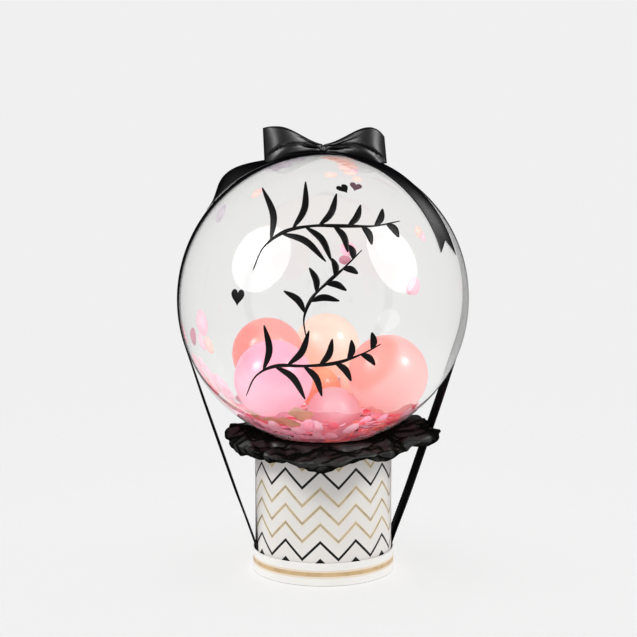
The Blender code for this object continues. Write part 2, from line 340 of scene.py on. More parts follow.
# %% [markdown]
# ## Backdrop
#
# The backdrop is white for the eye, but a studio's other walls are dark: they fill the shadows less, and
# black satin or clear film shows them. So the world gives scattered and mirrored rays less light. It isn't
# sampled as a lamp, because a lamp can't tell one kind of ray from another.

# %% Backdrop
BACKDROP = srgb(240, 240, 240)
FILL_SHARE = 0.55
WALLS_SHARE = 0.30

world = bpy.data.worlds.new("white_studio")
world.use_nodes = True
bpy.context.scene.world = world
world.cycles.sampling_method = "NONE"
wire = Wire(world.node_tree)
scattered = wire.node("LightPath", output="Is Diffuse Ray")
passed = wire.node("LightPath", output="Is Transmission Ray")
mirrored = wire.node("LightPath", output="Is Glossy Ray") * (1.0 - passed)
strength = 1.0 - mirrored * (1.0 - WALLS_SHARE) - scattered * (1.0 - FILL_SHARE)
background = world.node_tree.nodes["Background"]
background.inputs["Color"].default_value = BACKDROP
plug(world.node_tree, background.inputs["Strength"], strength)

# %% [markdown]
# ## Making and placing pieces
#
# Two ways of making a shape are used again and again: a profile that is spun about the upright axis, for
# the box and the balloons, and a flat grid whose points are moved, for ribbon, tissue and film stickers.
# The grid's UV map is in metres, so that a weave has the same size on every ribbon.


# %% Mesh helpers
def turned(outline, steps):
    """A bmesh spun about Z from (radius, height) points."""
    bm = bmesh.new()
    points = [bm.verts.new((radius, 0.0, height)) for radius, height in outline]
    edges = [bm.edges.new(pair) for pair in zip(points, points[1:])]
    bmesh.ops.spin(
        bm,
        geom=points + edges,
        cent=(0.0, 0.0, 0.0),
        axis=(0.0, 0.0, 1.0),
        angle=2.0 * math.pi,
        steps=steps,
        use_merge=True,
    )
    bmesh.ops.remove_doubles(bm, verts=bm.verts, dist=1e-6)
    bmesh.ops.recalc_face_normals(bm, faces=bm.faces)
    return bm


def lay_sheet(bm, along, across, length, width, surface):
    """Adds a grid whose point (u, v) goes to surface(u, v), u from 0 to 1 and v from -0.5 to 0.5."""
    uv = bm.loops.layers.uv.verify()
    verts = bmesh.ops.create_grid(bm, x_segments=along, y_segments=across, size=0.5)["verts"]
    for vert in verts:
        for loop in vert.link_loops:
            loop[uv].uv = ((vert.co.x + 0.5) * length, (vert.co.y + 0.5) * width)
    for vert in verts:
        vert.co = surface(vert.co.x + 0.5, vert.co.y)
    return verts


def add_piece(name, bm, finish, replaced=(), smooth_degrees=40.0):
    """A scene object from a bmesh, which rides on the object's one body."""
    mesh = bpy.data.meshes.new(name)
    bm.to_mesh(mesh)
    bm.free()
    mesh.shade_smooth()
    mesh.set_sharp_from_angle(angle=math.radians(smooth_degrees))
    mesh.materials.append(finish)
    piece = bpy.data.objects.new(name, mesh)
    bpy.context.scene.collection.objects.link(piece)
    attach(piece, "root")
    if replaced:
        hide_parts(*replaced)
    print(name, len(mesh.polygons), "faces")
    return piece


def give_wall(piece, thickness, offset):
    """Thickness for a sheet: offset is 0 for half on each side, 1 for outwards and -1 for inwards."""
    wall = piece.modifiers.new("thickness", "SOLIDIFY")
    wall.thickness = thickness
    wall.offset = offset
    return piece


def smoothstep(value, low, high):
    share = min(1.0, max(0.0, (value - low) / (high - low)))
    return share * share * (3.0 - 2.0 * share)


def round_place(u, v):
    """Where a point of a square sheet goes when the sheet is pulled into a disc of radius 1."""
    x, y = 2.0 * u - 1.0, 2.0 * v
    return x * math.sqrt(1.0 - y * y / 2.0), y * math.sqrt(1.0 - x * x / 2.0)


def direction_at(fall, heading):
    """The direction at an angle from straight up and a heading about the upright axis."""
    out = math.sin(fall)
    return Vector((out * math.cos(heading), out * math.sin(heading), math.cos(fall)))


def smooth_line(points, count):
    """Evenly counted points along a Catmull-Rom curve through the given ones."""
    ends = [points[0] * 2 - points[1], *points, points[-1] * 2 - points[-2]]
    line = []
    for i in range(count + 1):
        place = i / count * (len(points) - 1)
        k = min(int(place), len(points) - 2)
        t = place - k
        a, b, c, d = ends[k : k + 4]
        line.append(
            (b * 2 + (c - a) * t + (a * 2 - b * 5 + c * 4 - d) * t**2 + (b * 3 - a - c * 3 + d) * t**3) / 2
        )
    return line


# %% [markdown]
# ## Floor
#
# The floor isn't part of the object, so it is stage and rides on no body. It glows a little, as a lit sweep of
# white paper does, and the key lamps leave it out, which keeps its shadows faint. Its alpha falls to nothing
# away from the object, where the white world shows through.

# %% Floor
FLOOR_RADIUS = 2.2
FLOOR_DROP = 0.0003


def floor_finish():
    made, wire, shader = new_finish(
        "studio_floor",
        Base_Color=(0.48, 0.48, 0.48, 1.0),
        Roughness=0.9,
        Specular_IOR_Level=0.0,
        Emission_Color=(1.0, 1.0, 1.0, 1.0),
        Emission_Strength=0.65,
    )
    distance = wire.node("VectorMath", {"operation": "LENGTH"}, {0: object_place(wire)}, output="Value")
    drive(shader, Alpha=distance.step(1.6, 0.35))
    return made


bm = bmesh.new()
bmesh.ops.create_circle(bm, cap_ends=True, segments=96, radius=FLOOR_RADIUS)
floor_mesh = bpy.data.meshes.new("studio_floor")
bm.to_mesh(floor_mesh)
bm.free()
floor_mesh.materials.append(floor_finish())
floor = bpy.data.objects.new("studio_floor", floor_mesh)
floor.location.z = -FLOOR_DROP
bpy.context.scene.collection.objects.link(floor)
unlit = bpy.data.collections.new("not_lit_by_keys")
unlit.objects.link(floor)
unlit.collection_objects[0].light_linking.link_state = "EXCLUDE"
for key in keys:
    key.light_linking.receiver_collection = unlit

# %% [markdown]
# ## Printed paper of the box
#
# The box is wrapped in satin white paper with rows of zigzags, black ones low and high and gold foil ones
# between, each with a paler edge. An image could hold the print, but a formula stays sharp at any size: the
# angle round the box is folded up and down twelve times a turn, and each row is where the height comes near
# that folded line. Only the peaks of the lowest row clear the tray, and they are filled in.

# %% Printed paper
ZIGZAGS_ROUND = 12
ZIGZAG_DEPTH = 0.026
LOWEST_PEAK = 0.0376
LINE_HALF_HEIGHT = 0.0025
FOIL_HALF_HEIGHT = 0.0020
FOIL_HALO = 0.0044
PEAK_ANGLE = math.radians(-2.6)
SEAM_ANGLE = math.radians(72.0)
PRINT_BLEED = 0.0003
WHITE_PAPER = srgb(242, 239, 235)
PRINT_BLACK = srgb(6, 6, 6)
PRINT_GOLD = srgb(208, 190, 158)
PALE_GOLD = srgb(242, 227, 200)


def printed_paper_finish():
    made, wire, shader = new_finish("printed_paper", Specular_IOR_Level=0.25)
    place = object_place(wire)
    x, y, z = parts_of(wire, place)
    angle = wire.maths("ARCTAN2", x, y * -1.0)
    turn = (angle - PEAK_ANGLE) * (ZIGZAGS_ROUND / (2.0 * math.pi))
    fold = wire.maths("PINGPONG", turn, 0.5) * 2.0
    row = (z - LOWEST_PEAK) / ZIGZAG_DEPTH + fold
    number = wire.maths("FLOOR", row + 0.5)
    foot = (row < 0.0) * (number < 0.5)
    off_line = wire.maths("ABSOLUTE", row - number) * ZIGZAG_DEPTH * (1.0 - foot)
    in_gold = (number > 1.5) * (number < 4.5) + (number > 5.5)
    half_height = LINE_HALF_HEIGHT - in_gold * (LINE_HALF_HEIGHT - FOIL_HALF_HEIGHT)
    line = (off_line - half_height).step(PRINT_BLEED, -PRINT_BLEED)
    halo = off_line.step(FOIL_HALO + PRINT_BLEED, FOIL_HALO - 2.0 * PRINT_BLEED) * in_gold
    foil = in_gold * line
    mottle = grain(wire, place, 60.0, 3.0)
    gold = mottle.step(0.35, 0.7).colours(PRINT_GOLD, srgb(174, 158, 130))
    white = patchy(wire, place, 9.0, 4.0, WHITE_PAPER, srgb(236, 231, 227))
    ink = foil.colours(PRINT_BLACK, gold)
    colour = (halo * 0.75).colours(white, PALE_GOLD)
    colour = line.colours(colour, ink)
    seam = wire.maths("ABSOLUTE", angle - SEAM_ANGLE).step(0.008, 0.002)
    colour = (seam * 0.35).colours(colour, srgb(150, 146, 146))
    fibres = grain(wire, place.stretched(1.0, 1.0, 0.3), 900.0, 3.0)
    drive(
        shader,
        Base_Color=colour,
        Metallic=foil * 0.45,
        Roughness=0.44 + (mottle - 0.5) * 0.12 - foil * 0.10,
        Normal=bumped(wire, fibres * 0.4 + line * 0.6 + seam * 2.0, 0.00006, 0.6),
    )
    return made


# %% [markdown]
# ## Gift box
#
# The box is a card tube with a glued floor. Its profile is spun: outside wall, rolled rim, inside wall and
# floor. The rim and the foot are rounded, because wrapped card never ends in a knife edge.

# %% Gift box
BOX_STEPS = 160
FOOT_CORNER = 0.0008
FOOT_INSET = 0.0015
FLOOR_CORNER = 0.001
WALL_STEPS = 12


def rounded_corner(centre_radius, centre_height, size, start, end, steps=4):
    """Points of a quarter turn, from a start to an end angle in degrees."""
    points = []
    for i in range(steps + 1):
        turn = math.radians(start + (end - start) * i / steps)
        points.append((centre_radius + size * math.cos(turn), centre_height + size * math.sin(turn)))
    return points


def tube_outline(outer, inner, low, floor_top, high):
    """Half the section of an open card tube with a floor, from the axis underneath to the axis inside."""
    round_size = (outer - inner) * 0.45
    outline = [(0.0, low), (outer - FOOT_INSET, low)]
    outline += rounded_corner(outer - FOOT_CORNER, low + FOOT_CORNER, FOOT_CORNER, -90.0, 0.0)
    for i in range(1, WALL_STEPS):
        rise = (high - round_size - low - FOOT_CORNER) * i / WALL_STEPS
        outline.append((outer, low + FOOT_CORNER + rise))
    outline += rounded_corner(outer - round_size, high - round_size, round_size, 0.0, 90.0)
    outline += rounded_corner(inner + round_size, high - round_size, round_size, 90.0, 180.0)
    outline += [(inner, floor_top + FLOOR_CORNER), (inner - FLOOR_CORNER, floor_top), (0.0, floor_top)]
    return outline


paper = printed_paper_finish()
outline = tube_outline(BOX_RADIUS, BOX_INNER, BOX_FLOOR_Z, BOX_FLOOR_Z + CARD, RIM_Z)
add_piece("box_wall", turned(outline, BOX_STEPS), paper, ["gift_box"])

# %% [markdown]
# ## Tray
#
# The tray is the box's own lid, turned over. It is white with a gold foil band, whose edges are paler than
# its middle. The band follows the height, so it is a formula as well.

# %% Tray
BAND_Z = 0.0172
BAND_HALF_CORE = 0.0030
BAND_HALF_EDGE = 0.0060


def tray_paper_finish():
    made, wire, shader = new_finish("tray_paper", Specular_IOR_Level=0.35)
    place = object_place(wire)
    x, y, z = parts_of(wire, place)
    radius = wire.maths("SQRT", x * x + y * y)
    outside = radius.step(TRAY_INNER + CARD * 0.5, TRAY_INNER + CARD * 0.8)
    off_band = wire.maths("ABSOLUTE", z - BAND_Z)
    core = off_band.step(BAND_HALF_CORE + PRINT_BLEED, BAND_HALF_CORE - PRINT_BLEED) * outside
    edge = off_band.step(BAND_HALF_EDGE + PRINT_BLEED, BAND_HALF_EDGE - PRINT_BLEED) * outside
    white = patchy(wire, place, 9.0, 4.0, srgb(252, 250, 246), srgb(246, 244, 240))
    mottle = grain(wire, place, 70.0, 3.0)
    gold = mottle.step(0.35, 0.7).colours(srgb(224, 192, 146), srgb(206, 174, 130))
    colour = (edge * 0.8).colours(white, srgb(240, 222, 196))
    colour = core.colours(colour, gold)
    rim = z.step(TRAY_HEIGHT - 0.002, TRAY_HEIGHT - 0.0006)
    colour = (rim * mottle * 0.25).colours(colour, srgb(205, 200, 196))
    # Painted contact shadow: the paper is darkened along its foot, where the tray stands on the floor.
    foot = z.step(0.0014, 0.0002)
    colour = (foot * 0.7).colours(colour, srgb(120, 118, 116))
    fibres = grain(wire, place, 900.0, 3.0)
    drive(
        shader,
        Base_Color=colour,
        Metallic=core * 0.45,
        Roughness=0.42 + (mottle - 0.5) * 0.12 - core * 0.08,
        Normal=bumped(wire, fibres * 0.4 + core * 0.8, 0.00006, 0.6),
    )
    return made


outline = tube_outline(TRAY_OUTER, TRAY_INNER, 0.0, CARD, TRAY_HEIGHT)
add_piece("tray_wall", turned(outline, BOX_STEPS), tray_paper_finish(), ["lid_tray"])

# %% [markdown]
# ## Clear film
#
# The bubble is a sheet of stretch film under a tenth of a millimetre thick, which doesn't bend what is seen
# through it. So the shader refracts with an index of 1 and is all transmission, and a clear coat on it makes
# the reflections. Its shadow is turned off, because a refracting shader would block the lamps.

# %% Bubble
FILM_WALL = 0.0004
BUBBLE_RINGS = 72
BUBBLE_STEPS = 144


def bubble_outline(rings):
    """The ball from its top down to the shoulder, then the gathered neck, its knot and its lip."""
    shoulder = math.pi - math.asin(NECK_SHOULDER / BUBBLE_RADIUS)
    outline = []
    for i in range(rings + 1):
        turn = shoulder * i / rings
        outline.append((BUBBLE_RADIUS * math.sin(turn), BUBBLE_Z + BUBBLE_RADIUS * math.cos(turn)))
    throat_top = outline[-1][1]
    throat_drop = NECK_LENGTH * 0.35
    throat_rings = 8
    for i in range(1, throat_rings + 1):
        turn = math.pi / 2 * i / throat_rings
        radius = NECK_SHOULDER - (NECK_SHOULDER - NECK_RADIUS) * math.sin(turn)
        outline.append((radius, throat_top - throat_drop * (1.0 - math.cos(turn))))
    foot = BUBBLE_Z - BUBBLE_RADIUS - NECK_LENGTH
    outline += [
        (NECK_RADIUS * 1.55, foot + NECK_LENGTH * 0.52),
        (NECK_RADIUS * 0.75, foot + NECK_LENGTH * 0.42),
        (NECK_RADIUS * 1.40, foot + NECK_LENGTH * 0.10),
        (NECK_RADIUS * 1.60, foot),
        (0.0, foot),
    ]
    return outline


film, _, _ = new_finish(
    "clear_film",
    Base_Color=(0.985, 0.985, 0.98, 1.0),
    Roughness=0.0,
    IOR=1.0,
    Transmission_Weight=1.0,
    Coat_Weight=1.0,
    Coat_Roughness=0.05,
    Coat_IOR=1.5,
)
bm = turned(bubble_outline(BUBBLE_RINGS), BUBBLE_STEPS)
bubble_film = add_piece("bubble_film", bm, film, ["bubble"])
give_wall(bubble_film, FILM_WALL, -1.0)
bubble_film.visible_shadow = False

# %% [markdown]
# ## Small latex balloons
#
# Seven little balloons lie in the bubble. Each is a spun pear shape with a rolled lip under its knot. Latex
# this thin scatters light and lets the next balloon's outline show, so its shader is partly Translucent and a
# little see-through, and an emission gives it a painted glow. Its colour is painted deeper on one side, for
# what shows through it from behind, and paler on the rest, as painted reflected light from the bright floor.

# %% Latex balloons
BALLOON_STEPS = 64
BALLOON_RINGS = 30
NECK_ANGLE = math.radians(158.0)
TRANSLUCENT_LATEX = 0.38
LIP = 0.0040
# A painted glow: the latex emits its own colour.
LATEX_GLOW = 0.14
LATEX_ALPHA = 0.72


def latex_finish(name, pale, deep, centre, deep_side, spread):
    """Latex painted deeper on one side, for what shows through it, and paler on the rest, for reflected light.
    """
    made, wire, shader = new_finish(
        name,
        Alpha=LATEX_ALPHA,
        Emission_Strength=LATEX_GLOW,
        Coat_Weight=0.8,
        Coat_Roughness=0.24,
        Coat_IOR=1.8,
    )
    place = object_place(wire)
    away = wire.node("VectorMath", {"operation": "SUBTRACT"}, {0: place, 1: BUBBLE_CENTRE + centre})
    away = wire.node("VectorMath", {"operation": "NORMALIZE"}, {0: away})
    towards = wire.node(
        "VectorMath", {"operation": "DOT_PRODUCT"}, {0: away, 1: deep_side.normalized()}, output="Value"
    )
    cloud = grain(wire, place, 14.0, 2.0)
    edge = math.cos(math.radians(spread))
    # Painted: the deep side stands for what shows through from behind, and the pale rest is painted reflected
    # light.
    painted_deep = (towards + (cloud - 0.5) * 0.3).step(edge - 0.12, edge + 0.12)
    latex = painted_deep.colours(srgb(*pale), srgb(*deep))
    drive(
        shader,
        Base_Color=latex,
        Emission_Color=latex,
        Roughness=0.26 + cloud * 0.08,
        Normal=bumped(wire, grain(wire, place, 260.0, 2.0), 0.00008, 0.3),
    )
    let_light_through(wire, shader, srgb(*pale), TRANSLUCENT_LATEX)
    return made


def balloon_outline(radius):
    """From the crown down to the knot and its lip."""
    outline = []
    for i in range(BALLOON_RINGS + 1):
        turn = NECK_ANGLE * i / BALLOON_RINGS
        taper = 1.0 + 0.10 * smoothstep(turn, math.radians(90.0), NECK_ANGLE)
        outline.append((radius * math.sin(turn), radius * math.cos(turn) * taper))
    neck = -radius * 1.12
    outline += [
        (LIP * 1.5, neck),
        (LIP * 0.7, neck - LIP * 0.8),
        (LIP * 1.2, neck - LIP * 1.5),
        (LIP * 0.8, neck - LIP * 2.3),
        (LIP * 1.3, neck - LIP * 3.0),
        (LIP * 1.4, neck - LIP * 3.4),
        (LIP * 0.9, neck - LIP * 3.5),
        (0.0, neck - LIP * 2.9),
    ]
    return outline


# %% Where each balloon lies
BALLOONS = (
    # name, pale and deep colour, centre from the bubble's centre, radius, neck, painted deep side, its spread
    (
        "coral_balloon", (252, 198, 194), (248, 146, 130),
        Vector((0.0916, -0.060, -0.100)), 0.0570, Vector((0.3, 0.9, -0.4)), Vector((-0.62, -0.52, 0.55)), 50,
    ),
    (
        "pink_balloon", (254, 208, 226), (250, 178, 204),
        Vector((-0.071, -0.075, -0.103)), 0.0555, Vector((-0.1, 0.8, -0.5)), Vector((0.2, -0.4, 0.9)), 66,
    ),
    (
        "salmon_balloon", (254, 184, 176), (250, 148, 138),
        Vector((-0.082, 0.038, -0.085)), 0.0525, Vector((0.2, 0.9, -0.6)), Vector((-0.9, -0.4, 0.1)), 55,
    ),
    (
        "peach_balloon", (255, 236, 222), (255, 218, 186),
        Vector((0.006, 0.098, -0.084)), 0.0490, Vector((-0.3, 0.2, -0.9)), Vector((-0.5, -0.5, -0.6)), 50,
    ),
    (
        "orange_balloon", (254, 182, 136), (252, 158, 112),
        Vector((-0.006, 0.037, -0.137)), 0.0310, Vector((0.1, 0.9, 0.3)), Vector((0.0, -0.6, -0.8)), 60,
    ),
    (
        "rose_balloon", (252, 208, 218), (248, 176, 190),
        Vector((0.015, -0.060, -0.156)), 0.0380, Vector((-0.3, 0.9, 0.2)), Vector((0.4, -0.3, -0.9)), 62,
    ),
    (
        "blush_balloon", (255, 226, 208), (253, 204, 180),
        Vector((0.065, 0.036, -0.126)), 0.0400, Vector((0.7, 0.7, 0.2)), Vector((-0.2, -0.6, -0.7)), 50,
    ),
)


def build_balloon(name, pale, deep, centre, radius, neck_towards, deep_side, spread):
    bm = turned(balloon_outline(radius), BALLOON_STEPS)
    tilt = (-neck_towards).to_track_quat("Z", "Y").to_matrix()
    bmesh.ops.rotate(bm, cent=(0.0, 0.0, 0.0), matrix=tilt, verts=bm.verts)
    bmesh.ops.translate(bm, vec=BUBBLE_CENTRE + centre, verts=bm.verts)
    finish = latex_finish(name.replace("balloon", "latex"), pale, deep, centre, deep_side, spread)
    return add_piece(name, bm, finish)


for values in BALLOONS:
    build_balloon(*values)

# %% [markdown]
# ## Confetti
#
# The confetti is tissue paper punched into discs about 2 cm across, with a few scraps of crumpled brown
# tissue. Most of it lies in the bottom of the bubble under the balloons, and static electricity holds some
# against the film. Loose pieces are drawn at random with a fixed seed, and one is kept only if its rim
# clears the film and every balloon.

# %% Confetti paper
DISC_SIDES = 16
CONFETTI_WALL = 0.00012
INSIDE_FILM = BUBBLE_RADIUS - FILM_WALL - 0.0006
# A painted glow: the paper emits its own colour, which lightens the shade in the pile.
PAPER_GLOW = 0.46
TRANSLUCENT_PAPER = 0.5
OFF_FILM = 0.0012
SCRAP_CREASE = 0.004
SCRAP_FACET = 0.014


def confetti_finish(name, colour, deep, alpha):
    made, wire, shader = new_finish(
        name, Roughness=0.75, Sheen_Weight=0.15, Alpha=alpha, Emission_Strength=PAPER_GLOW
    )
    place = object_place(wire)
    tissue = patchy(wire, place, 45.0, 3.0, srgb(*colour), srgb(*deep))
    drive(
        shader,
        Base_Color=tissue,
        Emission_Color=tissue,
        Normal=bumped(wire, grain(wire, place, 700.0, 3.0), 0.0001, 0.5),
    )
    let_light_through(wire, shader, srgb(*colour), TRANSLUCENT_PAPER)
    return made


CONFETTI = {
    "pink": confetti_finish("pink_confetti_paper", (253, 206, 220), (248, 184, 204), 0.85),
    "rose": confetti_finish("rose_confetti_paper", (246, 138, 156), (232, 112, 134), 0.88),
    "coral": confetti_finish("coral_confetti_paper", (251, 172, 166), (243, 146, 140), 0.88),
    "mauve": confetti_finish("mauve_confetti_paper", (216, 158, 174), (190, 126, 146), 0.8),
    "blush": confetti_finish("blush_confetti_paper", (250, 224, 216), (243, 204, 196), 0.6),
    "petal": confetti_finish("petal_confetti_paper", (252, 220, 230), (248, 200, 214), 0.6),
    "lilac": confetti_finish("lilac_confetti_paper", (222, 216, 224), (206, 198, 210), 0.5),
    "brown": confetti_finish("brown_tissue_paper", (216, 178, 154), (190, 146, 122), 0.85),
}


def facing(normal, roll=0.0):
    """The rotation that turns a piece lying in the XY plane to face along a normal."""
    return normal.to_track_quat("Z", "Y").to_matrix() @ Matrix.Rotation(math.radians(roll), 3, "Z")


def add_disc(bm, centre, turn, radius, curl, stretch=1.0):
    """One paper disc, a little bent, in a place given by its centre and rotation."""
    made = bmesh.ops.create_circle(bm, cap_ends=True, cap_tris=True, segments=DISC_SIDES, radius=radius)
    for vert in made["verts"]:
        vert.co.x *= stretch
        vert.co.z -= curl * vert.co.x**2 / radius
        vert.co = centre + turn @ vert.co


def disc_fits(centre, turn, radius, curl, stretch):
    """Whether a disc's rim is inside the film and outside the balloons."""
    for i in range(8):
        side = math.radians(45.0 * i)
        rim = Vector((math.cos(side) * stretch, math.sin(side), 0.0)) * radius
        rim.z = -curl * rim.x**2 / radius
        point = centre + turn @ rim - BUBBLE_CENTRE
        if point.length > INSIDE_FILM:
            return False
        if any((point - place).length < size + 0.001 for _, _, _, place, size, *_ in BALLOONS):
            return False
    return True


def add_scrap(bm, centre, turn, width, height, seed):
    """One crumpled scrap of tissue with a torn edge."""
    away = Vector((seed * 7.3, 0.0, 0.0))

    def surface(u, v):
        x, y = round_place(u, v)
        edge = 1.0 + 0.45 * noise.noise(Vector((x, y, 0.0)) * 1.3 + away)
        flat = Vector((x * width / 2 * edge, y * height / 2 * edge, 0.0))
        flat.z = SCRAP_CREASE * (noise.voronoi(flat / SCRAP_FACET + away)[0][0] - 0.5)
        return centre + turn @ flat

    lay_sheet(bm, 16, 12, width, height, surface)


# %% Confetti pile and cling
PILE_COUNT = 470
PILE_TOP = -0.158
PILE_REACH = 0.142
CLING_COUNT = 46
LEFT_CLING_COUNT = 22
CLUNG = (
    # picture place, whether on the far side, diameter in millimetres, stretch, roll, colour
    (331, 175, False, 15, 1.2, 0, "blush"),
    (345, 168, False, 17, 1.3, 20, "blush"),
    (350, 173, False, 14, 1.4, -10, "blush"),
    (357, 179, False, 13, 1.2, 30, "blush"),
    (338, 160, True, 22, 1.4, 15, "blush"),
    (345, 163, True, 22, 1.5, -20, "blush"),
    (330, 158, True, 20, 1.4, 0, "blush"),
    (337, 155, True, 20, 1.5, 10, "petal"),
    (350, 166, True, 20, 1.3, 30, "blush"),
    (352, 171, True, 16, 1.3, 0, "petal"),
    (257, 193, False, 16, 1.3, 80, "blush"),
    (283, 165, True, 20, 2.0, 15, "lilac"),
    (274, 168, True, 24, 1.8, 20, "lilac"),
    (296, 160, True, 22, 1.8, 10, "lilac"),
    (221, 213, True, 20, 2.0, 60, "lilac"),
    (348, 249, False, 21, 1.0, 0, "pink"),
    (345, 260, True, 15, 1.3, 0, "mauve"),
    (419, 232, False, 15, 1.4, 60, "blush"),
    (423, 237, False, 11, 1.2, 60, "petal"),
    (414, 286, False, 21, 1.2, 70, "petal"),
    (410, 290, True, 15, 1.0, 70, "pink"),
    (202, 323, False, 29, 1.25, 100, "petal"),
    (209, 345, False, 20, 1.3, 105, "blush"),
    (209, 373, False, 22, 1.4, 115, "petal"),
    (222, 384, False, 24, 1.5, 120, "petal"),
    (229, 393, False, 15, 1.5, 130, "petal"),
    (232, 404, False, 17, 1.6, 140, "blush"),
    (262, 424, False, 20, 1.3, 150, "pink"),
    (272, 428, False, 21, 1.3, 160, "petal"),
    (286, 432, False, 23, 1.2, 165, "pink"),
    (298, 431, False, 18, 1.2, 10, "petal"),
    (303, 437, False, 22, 1.3, 175, "pink"),
    (316, 440, False, 20, 1.3, 0, "mauve"),
    (326, 436, False, 21, 1.2, 10, "rose"),
    (340, 441, False, 21, 1.4, 5, "coral"),
    (352, 437, False, 20, 1.2, 10, "rose"),
    (366, 438, False, 21, 1.3, 15, "rose"),
    (378, 432, False, 20, 1.2, 20, "coral"),
    (390, 428, False, 21, 1.3, 30, "rose"),
    (402, 421, False, 20, 1.3, 35, "rose"),
    (411, 414, False, 18, 1.3, 40, "mauve"),
)
SCRAPS = (
    # picture place, how far inside the film, width and height in millimetres, roll
    (254, 415, 0.008, 28, 20, -35),
    (282, 422, 0.008, 58, 28, 8),
    (301, 414, 0.012, 32, 36, 20),
    (352, 428, 0.014, 30, 22, -10),
)

# %% Clinging discs and scraps
CONFETTI_SEED = 11

chance = random.Random(CONFETTI_SEED)
piles = {colour: bmesh.new() for colour in CONFETTI}


def random_colour(weights):
    return chance.choices(("pink", "rose", "coral", "mauve", "petal"), weights)[0]


for across, down, behind, diameter, stretch, roll, colour in CLUNG:
    place = on_ball(across, down, INSIDE_FILM - OFF_FILM - chance.random() * OFF_FILM, behind)
    turn = facing(place - BUBBLE_CENTRE, roll)
    add_disc(piles[colour], place, turn, diameter / 2000, 0.02, stretch)
for seed, (across, down, inside, width, height, roll) in enumerate(SCRAPS):
    place = on_ball(across, down, INSIDE_FILM - inside)
    add_scrap(piles["brown"], place, facing(place - BUBBLE_CENTRE, roll), width / 1000, height / 1000, seed)

# %% Pile
lying = 0
while lying < PILE_COUNT:
    side = chance.uniform(0.0, 2.0 * math.pi)
    out = PILE_REACH * math.sqrt(chance.random())
    low = -math.sqrt(INSIDE_FILM**2 - out**2)
    height = low + 0.001 + chance.random() ** 1.6 * max(0.002, PILE_TOP - low)
    offset = Vector((out * math.cos(side), out * math.sin(side), height))
    lean = Vector((chance.uniform(-0.5, 0.5), chance.uniform(-0.5, 0.5), 1.0))
    turn = facing(lean - offset * 3.0, chance.uniform(0.0, 180.0))
    radius = chance.uniform(0.0075, 0.0115)
    curl = chance.uniform(-0.25, 0.25)
    stretch = chance.uniform(1.0, 1.4)
    if disc_fits(BUBBLE_CENTRE + offset, turn, radius, curl, stretch):
        weights = (4, 5, 4, 2, 1) if offset.x > -0.02 else (5, 2, 1, 2, 4)
        add_disc(piles[random_colour(weights)], BUBBLE_CENTRE + offset, turn, radius, curl, stretch)
        lying += 1

# %% More discs against the film
for i in range(CLING_COUNT + LEFT_CLING_COUNT):
    left = i < LEFT_CLING_COUNT
    side = math.radians(chance.uniform(165.0, 215.0) if left else chance.uniform(0.0, 360.0))
    fall = math.radians(chance.uniform(98.0, 140.0) if left else chance.uniform(136.0, 152.0))
    towards = direction_at(fall, side)
    radius = chance.uniform(0.0075, 0.0105)
    turn = facing(towards, chance.uniform(60.0, 120.0))
    centre = BUBBLE_CENTRE + towards * (INSIDE_FILM - OFF_FILM)
    stretch = chance.uniform(1.2, 1.8)
    if disc_fits(centre, turn, radius, 0.05, stretch):
        add_disc(piles[random_colour((3, 1, 1, 1, 5))], centre, turn, radius, 0.05, stretch)

for colour, bm in piles.items():
    give_wall(add_piece(f"{colour}_confetti", bm, CONFETTI[colour], smooth_degrees=60.0), CONFETTI_WALL, 0.0)

# %% [markdown]
# ## Marks on the film
#
# The front of the bubble carries vinyl marks: three rows of brush strokes and three small hearts. Each row
# is a leafy sprig, a thin stem with leaf strokes on both sides. A stroke is a narrow grid laid on the ball
# along a smooth curve, tapered at its ends, with a vinyl sticker's thickness.

# %% Vinyl marks
VINYL = 0.00015
OVER_FILM = BUBBLE_RADIUS + 0.00012
STEM_STEPS = 80
LEAF_STEPS = 16
STEM_HALF_WIDTH = 2.1
LEAF_HALF_WIDTH = 3.5
FIRST_LEAF = 0.20
LEAFY_SHARE = 0.76
SPRIGS = (
    # picture points of the stem, how many leaves, length of the longest and the shortest
    (((253, 270), (263, 248), (284, 232), (312, 226), (344, 226), (374, 226), (400, 221)), 10, 54, 18),
    (((306, 337), (304, 318), (312, 298), (328, 282), (344, 268), (362, 250)), 7, 31, 15),
    (((246, 396), (256, 376), (276, 366), (306, 366), (336, 363), (362, 354), (381, 344)), 9, 46, 17),
)
HEARTS = (
    # name, finish, picture place, half width in millimetres, tilt in degrees
    ("black_heart_low", "black", 237.5, 297.5, 10.8, 0.0),
    ("black_heart_high", "black", 343.5, 189.0, 8.6, 24.0),
    ("mauve_heart_high", "mauve", 355.5, 187.0, 8.6, -28.0),
)


def vinyl_finish(name, colour, worn):
    made, wire, shader = new_finish(name, Specular_IOR_Level=0.15)
    place = object_place(wire)
    patch = grain(wire, place, 22.0, 3.0).step(0.55, 0.85)
    drive(
        shader,
        Base_Color=patch.colours(srgb(*colour), srgb(*worn)),
        Roughness=0.34 + patch * 0.15,
        Normal=bumped(wire, grain(wire, place, 500.0, 2.0), 0.00003, 0.4),
    )
    return made


def face_outward(bm):
    """Turns every face away from the bubble's centre."""
    bm.normal_update()
    wrong = [f for f in bm.faces if f.normal.dot(f.calc_center_median() - BUBBLE_CENTRE) < 0.0]
    bmesh.ops.reverse_faces(bm, faces=wrong)


def stroke_surface(line, half_width, swell=0.0):
    """Lays a line of picture points on the ball as a brush stroke that tapers at its ends and may swell."""
    last = len(line) - 1

    def surface(u, v):
        k = round(u * last)
        step = line[min(k + 1, last)] - line[max(k - 1, 0)]
        aside = Vector((-step.y, step.x)).normalized()
        taper = math.sin(math.pi * (0.04 + 0.92 * u)) ** 0.8
        taper *= 1.0 - swell * math.sin(3.0 * math.pi * u) ** 2
        place = line[k] + aside * (2.0 * v * half_width * taper)
        return on_ball(place.x, place.y, OVER_FILM)

    return surface


